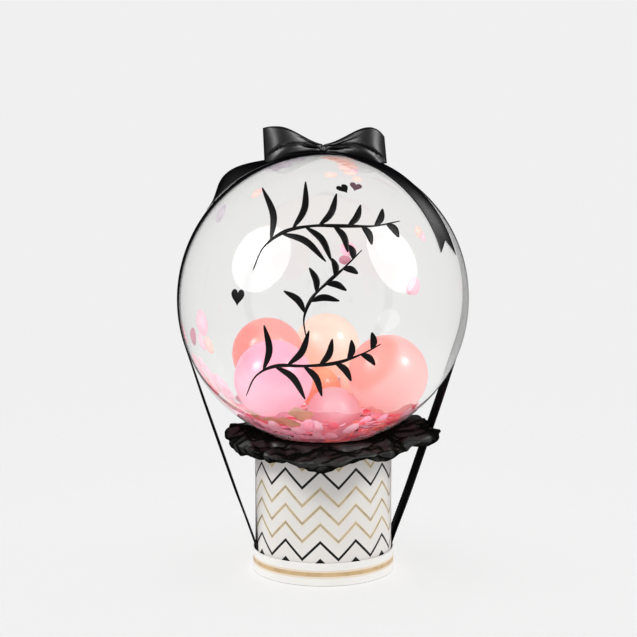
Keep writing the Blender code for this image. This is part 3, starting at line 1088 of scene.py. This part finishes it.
def leaf_line(root, ahead, side, length):
    """Picture points of one leaf: it leaves the stem forwards and bends outwards to one side."""
    outwards = Vector((-ahead.y, ahead.x)) * side
    middle = root + ahead * (length * 0.34) + outwards * (length * 0.34)
    tip = root + ahead * (length * 0.50) + outwards * (length * 0.86)
    return smooth_line([root, middle, tip], LEAF_STEPS)


def lay_sprig(bm, points, leaves, longest, shortest):
    """Adds one sprig: its stem, and leaves that alternate from side to side and shorten towards its tip."""
    stem = smooth_line([Vector(point) for point in points], STEM_STEPS)
    lay_sheet(bm, STEM_STEPS, 2, 0.2, 0.004, stroke_surface(stem, STEM_HALF_WIDTH, 0.35))
    for i in range(leaves):
        share = FIRST_LEAF + LEAFY_SHARE * (i + 0.5) / leaves
        k = min(int(share * STEM_STEPS), STEM_STEPS - 2)
        ahead = (stem[k + 1] - stem[k - 1]).normalized()
        length = shortest + (longest - shortest) * 2.5 * math.sin(math.pi * share) * (1.0 - share) ** 2
        line = leaf_line(stem[k], ahead, 1 if i % 2 else -1, length)
        lay_sheet(bm, LEAF_STEPS, 4, 0.03, 0.008, stroke_surface(line, LEAF_HALF_WIDTH))


# %% Lay the strokes
VINYLS = {
    "black": vinyl_finish("black_vinyl", (8, 7, 8), (34, 32, 34)),
    "mauve": vinyl_finish("mauve_vinyl", (104, 74, 84), (124, 92, 102)),
}
bm = bmesh.new()
for sprig in SPRIGS:
    lay_sprig(bm, *sprig)
face_outward(bm)
give_wall(add_piece("film_strokes", bm, VINYLS["black"]), VINYL, 1.0)


# %% Hearts
def heart_point(turn):
    """A point of the heart curve, about one unit from its middle."""
    across = 16.0 * math.sin(turn) ** 3
    up = 13.0 * math.cos(turn) - 5.0 * math.cos(2 * turn) - 2.0 * math.cos(3 * turn) - math.cos(4 * turn)
    return Vector((across, up + 2.0)) / 16.0


def heart_surface(across, down, half_width, tilt):
    """A square grid pressed into a heart on the ball."""
    centre = on_ball(across, down, OVER_FILM)
    outward = (centre - BUBBLE_CENTRE).normalized()
    right = Vector((0.0, 0.0, 1.0)).cross(outward).normalized()
    right = -right if right.x < 0.0 else right
    up = right.cross(outward)
    up = -up if up.z < 0.0 else up
    turn = math.radians(tilt)

    def surface(u, v):
        disc = Vector(round_place(u, v))
        flat = heart_point(math.atan2(disc.x, disc.y)) * (disc.length * half_width / 1000)
        flat.y *= 1.2
        side = flat.x * math.cos(turn) - flat.y * math.sin(turn)
        rise = flat.x * math.sin(turn) + flat.y * math.cos(turn)
        point = centre + right * side + up * rise
        return BUBBLE_CENTRE + (point - BUBBLE_CENTRE).normalized() * OVER_FILM

    return surface


for name, finish, *heart in HEARTS:
    bm = bmesh.new()
    lay_sheet(bm, 16, 16, 0.02, 0.02, heart_surface(*heart))
    face_outward(bm)
    give_wall(add_piece(name, bm, VINYLS[finish]), VINYL, 1.0)

# %% [markdown]
# ## Black tissue
#
# Two sheets of black tissue are scrunched round the rim, to hide it and to seat the ball. Scrunched paper
# is flat facets between sharp creases, so the sheet is pushed in and out by six sets of straight folds that
# cross each other. A noise makes the folds wander. Blender seeds it from the clock unless it is given a seed,
# so it gets a fixed one, and the tissue is the same in each run. The free edge is ruffled as the solid's is.

# %% Tissue
TISSUE_OUTLINE = (
    # distance out from the box as a share of reach, height as a share of droop, or of rise above the rim
    (0.00, -0.62),
    (0.16, -0.96),
    (0.42, -1.00),
    (0.74, -0.70),
    (0.97, -0.28),
    (1.04, 0.20),
    (0.90, 0.85),
    (0.58, 0.90),
    (0.26, 0.70),
)
TISSUE_UNDER_BALL = 0.085
TISSUE_STEPS = 560
TISSUE_RINGS = 72
TISSUE_WALL = 0.0004
CRUMPLE_SEED = 4
WIDE_WANDER = 0.080
WIDE_WANDER_REACH = 0.024
FINE_WANDER = 0.030
FINE_WANDER_REACH = 0.005
TISSUE_SHARP_DEGREES = 5.0
SAG_FROM = 0.002
TISSUE_INSET = 0.002
FOLDS = (
    # direction that a set of folds runs across, distance between them, depth, phase
    (Vector((0.80, 0.30, 0.52)), 0.074, 0.0076, 0.10),
    (Vector((-0.45, 0.80, 0.40)), 0.058, 0.0064, 0.55),
    (Vector((0.62, -0.66, 0.42)), 0.044, 0.0048, 0.30),
    (Vector((0.10, 0.55, -0.83)), 0.032, 0.0038, 0.80),
    (Vector((-0.83, -0.40, 0.38)), 0.023, 0.0024, 0.00),
    (Vector((0.30, -0.90, -0.30)), 0.016, 0.0013, 0.45),
)


# %% Section and free edge of the tissue
def film_underside(radius):
    return BUBBLE_Z - math.sqrt((BUBBLE_RADIUS + FILM_GAP) ** 2 - radius**2)


def tissue_wave(turn):
    """(outward, upward) ruffle of the free edge at an angle round the box, as shares of its reach."""
    out = 0.21 * math.cos(turn + 0.2) + 0.10 * math.sin(3 * turn + 0.6)
    out += 0.09 * math.sin(7 * turn + 2.1) + 0.05 * math.sin(12 * turn + 0.4)
    up = 0.08 * math.cos(turn) + 0.10 * math.cos(2 * turn) + 0.03 * math.sin(turn) - 0.05
    up += 0.05 * math.sin(5 * turn) + 0.04 * math.sin(9 * turn)
    return out, up


def tissue_outline():
    leg = BOX_INNER - TOUCH - TISSUE_WALL
    outside = BOX_RADIUS + TOUCH + TISSUE_WALL
    outline = [
        Vector((leg, RIM_Z - TISSUE_TUCK)),
        Vector((leg, RIM_Z - TISSUE_TUCK / 2)),
        Vector((leg + 0.0004, RIM_Z - 0.001)),
        Vector(((leg + outside) / 2, RIM_Z + TOUCH + TISSUE_WALL)),
        Vector((outside + 0.001, RIM_Z - 0.003)),
    ]
    for out, up in TISSUE_OUTLINE:
        height = up * (TISSUE_RISE if up > 0.0 else TISSUE_DROOP)
        outline.append(Vector((outside + out * TISSUE_REACH, RIM_Z + height)))
    outline.append(Vector((outside - 0.002, RIM_Z + TISSUE_RISE * 0.6)))
    outline.append(Vector((TISSUE_UNDER_BALL, film_underside(TISSUE_UNDER_BALL) - FILM_GAP)))
    return [tuple(point) for point in smooth_line(outline, TISSUE_RINGS)]


# %% Room for the strap
def strap_leaves_film():
    """(radius, height) where the strap's straight run meets the bubble without a corner."""
    down = BUBBLE_Z - STRAP_BEND_Z
    distance = math.hypot(STRAP_ON_BOX, down)
    turn = math.atan2(-down, STRAP_ON_BOX) + math.acos(STRAP_ON_FILM / distance)
    return STRAP_ON_FILM * math.cos(turn), BUBBLE_Z + STRAP_ON_FILM * math.sin(turn)


def strap_radius(height):
    """How far from the axis the strap's free run is at a height."""
    leave_radius, leave_z = strap_leaves_film()
    share = (height - STRAP_BEND_Z) / (leave_z - STRAP_BEND_Z)
    return STRAP_ON_BOX + (leave_radius - STRAP_ON_BOX) * share


def strap_side_limit(point):
    """How far out the tissue may reach at a point, so that the strap passes it."""
    beside = abs(point.y * math.cos(STRAP_TURN) - point.x * math.sin(STRAP_TURN))
    half_width = STRAP_WIDTH / 2
    room = half_width * math.sin(STRAP_TWIST) + RIBBON_THICKNESS + STRAP_ROOM
    opening = smoothstep(beside, half_width * 1.2, half_width * 2.0)
    return strap_radius(point.z) - room + opening * TISSUE_REACH


# %% Folds and finish of the tissue
def crumple(point):
    """How far scrunched paper stands off at a point: straight folds that cross each other and wander."""
    wander = noise.noise_vector(point / WIDE_WANDER) * WIDE_WANDER_REACH
    wander += noise.noise_vector(point / FINE_WANDER) * FINE_WANDER_REACH
    height = 0.0
    for across, apart, depth, phase in FOLDS:
        place = (point + wander).dot(across) / apart + phase
        height += depth * (abs(2.0 * (place - math.floor(place)) - 1.0) - 0.5)
    return height


def tissue_finish():
    made, wire, shader = new_finish(
        "black_tissue", Specular_IOR_Level=0.0, Roughness=0.9, Coat_Roughness=0.45
    )
    place = object_place(wire)
    face_on = wire.node("LayerWeight", output="Facing").step(0.62, 0.20)
    cells = wire.node(
        "TexVoronoi",
        {"feature": "DISTANCE_TO_EDGE"},
        {"Vector": place, "Scale": 190.0},
    )
    crease = cells.step(0.12, 0.0)
    fibres = grain(wire, place, 1400.0, 3.0)
    worn = grain(wire, place, 60.0, 4.0).step(0.4, 0.8)
    drive(
        shader,
        Base_Color=(crease * 0.5 + worn * 0.35).colours(srgb(7, 8, 7), srgb(25, 26, 22)),
        Coat_Weight=face_on * (0.7 + worn * 0.25 + fibres * 0.2 - crease * 0.2),
        Normal=bumped(wire, cells * 1.0 + fibres * 0.12, 0.0006, 0.6),
    )
    return made


# %% Crumple the tissue
noise.seed_set(CRUMPLE_SEED)
bm = turned(tissue_outline(), TISSUE_STEPS)
outside = BOX_RADIUS + TOUCH
for vert in bm.verts:
    point = vert.co
    radius = math.hypot(point.x, point.y)
    turn = math.atan2(point.y, point.x)
    free = smoothstep(radius - outside, 0.0, TISSUE_REACH)
    out, up = tissue_wave(turn)
    radius += free * out * TISSUE_REACH
    point.z += free * up * TISSUE_REACH
    if radius > outside:
        point.z -= max(0.0, point.z - RIM_Z - SAG_FROM) * max(0.0, -math.sin(turn))
    point.x = radius * math.cos(turn)
    point.y = radius * math.sin(turn)
bm.normal_update()
for vert in bm.verts:
    point = vert.co
    radius = math.hypot(point.x, point.y)
    loose = smoothstep(radius - outside, 0.001, 0.012)
    point += vert.normal * ((crumple(point) - TISSUE_INSET) * loose)
    turn = math.atan2(point.y, point.x)
    radius = min(math.hypot(point.x, point.y), strap_side_limit(point))
    if loose > 0.0:
        point.z = min(point.z, film_underside(radius) - FILM_GAP)
    point.x = radius * math.cos(turn)
    point.y = radius * math.sin(turn)
tissue_ruffle = add_piece(
    "tissue_ruffle", bm, tissue_finish(), ["tissue_collar"], TISSUE_SHARP_DEGREES
)
give_wall(tissue_ruffle, TISSUE_WALL, 0.0)

# %% [markdown]
# ## Satin ribbon
#
# Satin is woven so that long threads lie on its face, which gives a dark cloth with soft, wide highlights.
# The highlights are a coat over a matt black, because the coat can be taken away where the ribbon is seen
# edge on: there satin stays black. The threads run along the ribbon, so the noise that makes them is
# stretched along the UV map, and a denser edge, the selvedge, runs down both sides.

# %% Satin
def satin_finish(name, width):
    made, wire, shader = new_finish(name, Specular_IOR_Level=0.0, Roughness=0.8, Coat_Roughness=0.38)
    place = cloth_place(wire)
    face_on = wire.node("LayerWeight", output="Facing").step(0.78, 0.25)
    along, across, _ = parts_of(wire, place)
    threads = grain(wire, place.stretched(160.0, 2600.0, 1.0), 1.0, 2.0)
    slubs = grain(wire, place.stretched(12.0, 120.0, 1.0), 1.0, 3.0)
    edge = wire.maths("ABSOLUTE", across - width / 2).step(width / 2 - 0.0022, width / 2 - 0.0012)
    drive(
        shader,
        Base_Color=(threads * 0.5 + slubs * 0.5).step(0.3, 0.8).colours(srgb(8, 8, 9), srgb(17, 16, 19)),
        Coat_Weight=face_on * (0.7 + threads * 0.3 + slubs * 0.3 - edge * 0.5),
        Normal=bumped(wire, threads * 0.5 + slubs * 0.4 + edge * 1.5, 0.00012, 0.6),
    )
    return made


# %% [markdown]
# ## Strap
#
# One length of ribbon is tucked between box and tray on the left, goes up over the bubble and comes down on
# the right. It is stretched tight, so it bends only round the ball and twists a little between. The
# stations are the solid's, with more of them, and both runs twist the same way, as one long ribbon does.

# %% Strap
STRAP_RUN_STEPS = 36
STRAP_ARC_STEPS = 80
LEFT_TWIST = -2.2


def strap_stations():
    """From the strap's left end to its right one: (radius, height, normal, twist, curl across)."""
    leave_radius, leave_z = strap_leaves_film()
    leave = math.atan2(leave_z - BUBBLE_Z, leave_radius)
    tuck_steps = 6
    half = []
    for i in range(tuck_steps):
        height = TRAY_HEIGHT - STRAP_TUCK + STRAP_TUCK * i / (tuck_steps - 1)
        half.append((STRAP_ON_BOX, height, (1.0, 0.0), 0.0, 1.0 / STRAP_ON_BOX))
    half.append((STRAP_ON_BOX, STRAP_BEND_Z, (1.0, 0.0), 0.0, 1.0 / STRAP_ON_BOX))
    normal = (math.cos(leave), math.sin(leave))
    for i in range(1, STRAP_RUN_STEPS):
        share = i / STRAP_RUN_STEPS
        radius = STRAP_ON_BOX + (leave_radius - STRAP_ON_BOX) * share
        height = STRAP_BEND_Z + (leave_z - STRAP_BEND_Z) * share
        curl = (1.0 - smoothstep(share, 0.0, 0.3)) / STRAP_ON_BOX
        curl += smoothstep(share, 0.7, 1.0) / STRAP_ON_FILM
        half.append((radius, height, normal, STRAP_TWIST * math.sqrt(math.sin(math.pi * share)), curl))
    for i in range(STRAP_ARC_STEPS):
        turn = leave + (math.pi / 2 - leave) * i / STRAP_ARC_STEPS
        out = (math.cos(turn), math.sin(turn))
        height = BUBBLE_Z + STRAP_ON_FILM * out[1]
        half.append((STRAP_ON_FILM * out[0], height, out, 0.0, 1.0 / STRAP_ON_FILM))
    top = (0.0, BUBBLE_Z + STRAP_ON_FILM, (0.0, 1.0), 0.0, 1.0 / STRAP_ON_FILM)
    left = [(-r, z, (-n[0], n[1]), twist * LEFT_TWIST, curl) for r, z, n, twist, curl in half]
    return left + [top] + half[::-1]


def strap_surface(stations):
    outward = Vector((math.cos(STRAP_TURN), math.sin(STRAP_TURN), 0.0))
    backward = Vector((-math.sin(STRAP_TURN), math.cos(STRAP_TURN), 0.0))
    upward = Vector((0.0, 0.0, 1.0))

    def surface(u, v):
        radius, height, normal, twist, curl = stations[round(u * (len(stations) - 1))]
        side = v * STRAP_WIDTH
        face = outward * normal[0] + upward * normal[1]
        across = backward * math.cos(twist) - face * math.sin(twist)
        face = face * math.cos(twist) + backward * math.sin(twist)
        middle = outward * radius + upward * height
        bend = side * curl
        if abs(bend) < 1e-9:
            return middle + across * side
        return middle + (across * math.sin(bend) - face * (1.0 - math.cos(bend))) / curl

    return surface


stations = strap_stations()
places = [Vector((radius, height)) for radius, height, *_ in stations]
strap_length = sum((b - a).length for a, b in zip(places, places[1:]))
bm = bmesh.new()
lay_sheet(bm, len(stations) - 1, 10, strap_length, STRAP_WIDTH, strap_surface(stations))
strap_ribbon = add_piece(
    "strap_ribbon", bm, satin_finish("strap_satin", STRAP_WIDTH), ["ribbon_strap"]
)
give_wall(strap_ribbon, RIBBON_THICKNESS, 0.0)
print("strap length", round(strap_length, 3))

# %% [markdown]
# ## Bow
#
# The bow is tied from one wider ribbon: two loops, two swallow-tailed ends and the knot between. The ribbon
# is bunched where the knot holds it, so pleats run out from there and die away towards the loops' ends.
# Loops and ends are grids bent by formulas. The pleats are a wave across the ribbon, and one crease runs
# slantwise across each loop.

# %% Bow surfaces
PLEATS = 2.6
PLEAT_HEIGHT = 0.0026
PUFF = 0.0045
CREASE_DEPTH = 0.0036
LOOP_CLOTH = 2.2


def gathered(distance, spread_by):
    """Share of the ribbon's full width at a distance from the knot."""
    return PINCH + (1.0 - PINCH) * smoothstep(distance, 0.0, spread_by)


def above_ball(centre, up, height):
    """How far along up from centre a line last comes within height of the film, or None."""
    away = centre - BUBBLE_CENTRE
    along = away.dot(up)
    inside = along**2 - away.length_squared + (BUBBLE_RADIUS + height) ** 2
    return None if inside < 0.0 else math.sqrt(inside) - along


def pleat(distance, v, reach, phase):
    """How far a pleat stands off the ribbon, most near the knot and nothing beyond its reach."""
    fade = smoothstep(distance, 0.002, 0.012) * (1.0 - smoothstep(distance, reach * 0.15, reach))
    wave = math.sin(2.0 * math.pi * PLEATS * v + phase)
    wave += 0.5 * math.sin(2.0 * math.pi * 5.0 * v + phase * 2.0)
    return PLEAT_HEIGHT * fade * wave


def loop_surface(side, length, spread_by, arch, rise, splay, lean, corner):
    start = KNOT_HALF_WIDTH * 0.2
    layers_apart = RIBBON_THICKNESS * 2.0

    def middle(u):
        out = start + (length - start) * math.sin(math.pi * u)
        back = -LOOP_BULGE * math.sin(2.0 * math.pi * u) - layers_apart * math.cos(math.pi * u)
        share = out / length
        return Vector((side * out, back, arch * math.sin(math.pi * share**1.6) + rise * share))

    def surface(u, v):
        local = middle(u)
        centre = KNOT_CENTRE + local
        out = abs(local.x)
        share = out / length
        up = Vector((side * splay * share, -lean * share, 1.0)).normalized()
        top = BOW_WIDTH / 2 * gathered(out, spread_by)
        bottom = -max(top, KNOT_HALF_HEIGHT) - local.z * 0.8
        top -= corner * share**12
        limit = above_ball(centre, up, OVER_TAIL_HEIGHT)
        if limit is not None:
            bottom = max(bottom, limit)
        front = 1.0 if u < 0.5 else -1.0
        off = pleat(out, v, length * (0.62 + 0.3 * v * side), 0.7 + side)
        off += PUFF * (1.0 - 4.0 * v * v) * math.sin(math.pi * share**1.5)
        crease = math.exp(-(((v - 0.36 + 0.72 * share) / 0.07) ** 2))
        off -= CREASE_DEPTH * crease * smoothstep(share, 0.15, 0.4)
        off *= front
        return centre + up * (bottom + (top - bottom) * (v + 0.5)) + Vector((0.0, -off, 0.0))

    return surface


# %% Tail surfaces
def tail_surface(azimuth, swing, length, lift, lift_at, clears_strap):
    start = KNOT_HALF_WIDTH * 0.3
    on_film = FILM_GAP + RIBBON_THICKNESS / 2

    def direction(travel):
        return direction_at(travel / BUBBLE_RADIUS, azimuth + swing * travel / length)

    def surface(u, v):
        end = length - TAIL_NOTCH * (1.0 - abs(2.0 * v))
        travel = start + (end - start) * u
        share = travel / length
        bump = math.sin(math.pi * share ** (math.log(0.5) / math.log(lift_at)))
        back_edge = lift * max(0.0, bump) ** 1.5
        tip = back_edge / BOW_WIDTH
        side = v * BOW_WIDTH * gathered(travel, GATHER_LENGTH) * math.sqrt(1.0 - tip * tip)
        radial = direction(travel)
        along = direction(travel + length * 0.01) - radial
        backward = along.cross(radial).normalized()
        backward *= math.copysign(1.0, backward.y)
        height = TAIL_HEIGHT
        if clears_strap:
            height += (on_film - height) * smoothstep(travel, BOW_WIDTH * 2.0, BOW_WIDTH * 3.4)
        height += back_edge * (v + 0.5)
        lean = side / BUBBLE_RADIUS
        out = radial * math.cos(lean) + backward * math.sin(lean)
        return BUBBLE_CENTRE + out * (BUBBLE_RADIUS + height)

    return surface


# %% Bow
LOOPS = (
    # side, length, length of its gathers, arch, rise, splay, lean, how far its corner is rounded
    (-1.0, LOOP_LENGTH * 0.97, GATHER_LENGTH, 0.001, 0.007, 0.04, 0.05, 0.003),
    (1.0, LOOP_LENGTH, GATHER_LENGTH * 1.15, 0.003, 0.004, -0.10, 0.05, 0.012),
)
TAILS = (
    # azimuth, swing, length, lift, lift_at, whether it ends clear of the strap
    (math.radians(173.0), 0.0, 0.190, 0.020, 0.74, False),
    (math.radians(-15.0), math.radians(-12.0), 0.252, 0.002, 0.35, True),
)
bow_satin = satin_finish("bow_satin", BOW_WIDTH)
bm = bmesh.new()
for shape in LOOPS:
    loop_cloth = LOOP_CLOTH * shape[1]
    lay_sheet(bm, 96, 24, loop_cloth, BOW_WIDTH, loop_surface(*shape))
for shape in TAILS:
    lay_sheet(bm, 90, 16, shape[2], BOW_WIDTH, tail_surface(*shape))
bow_ribbon = give_wall(add_piece("bow_ribbon", bm, bow_satin, ["bow"]), RIBBON_THICKNESS, 0.0)


def knot_surface(u, v):
    """The wrap of the knot: a barrel of ribbon whose face is drawn into folds."""
    turn = 2.0 * math.pi * u
    belly = 1.0 - 0.35 * (2.0 * v) ** 2
    folds = 1.0 + 0.07 * math.sin(2.0 * math.pi * 3.0 * v + 0.8)
    local = Vector(
        (
            2.0 * v * KNOT_HALF_WIDTH,
            -math.cos(turn) * KNOT_HALF_WIDTH * 0.95 * belly * folds,
            math.sin(turn) * KNOT_HALF_HEIGHT * belly * folds,
        )
    )
    sink = KNOT_HALF_HEIGHT * (1.0 - KNOT_SHOWN)
    return KNOT_CENTRE + local * KNOT_SHOWN - Vector((0.0, 0.0, sink))


bm = bmesh.new()
lay_sheet(bm, 48, 18, 0.048, 2.0 * KNOT_HALF_WIDTH, knot_surface)
bmesh.ops.remove_doubles(bm, verts=bm.verts, dist=1e-6)
bow_knot = give_wall(add_piece("bow_knot", bm, bow_satin), RIBBON_THICKNESS, 0.0)

# %% [markdown]
# ## Lamps for the cloth
#
# Black cloth shows its folds only by what it mirrors. Three narrow softboxes light nothing but the
# ribbon, as a photographer would with a snoot, so they leave no spots on the film.

# %% Cloth lamps
CLOTH_LAMPS = (
    # name, place from the knot, width, height, radiance
    ("cloth_left", Vector((-1.05, -1.25, -0.15)), 0.45, 0.9, 12.0),
    ("cloth_right", Vector((1.35, -0.95, -0.20)), 0.50, 0.9, 15.0),
    ("cloth_back", Vector((1.00, 1.15, 0.42)), 0.45, 0.5, 11.0),
)
cloth = bpy.data.collections.new("cloth")
for piece in (bow_ribbon, bow_knot, strap_ribbon):
    cloth.objects.link(piece)
for name, place, width, height, radiance in CLOTH_LAMPS:
    lamp = add_lamp(name, KNOT_CENTRE + place, KNOT_CENTRE, width, height, radiance, True)
    lamp.light_linking.receiver_collection = cloth
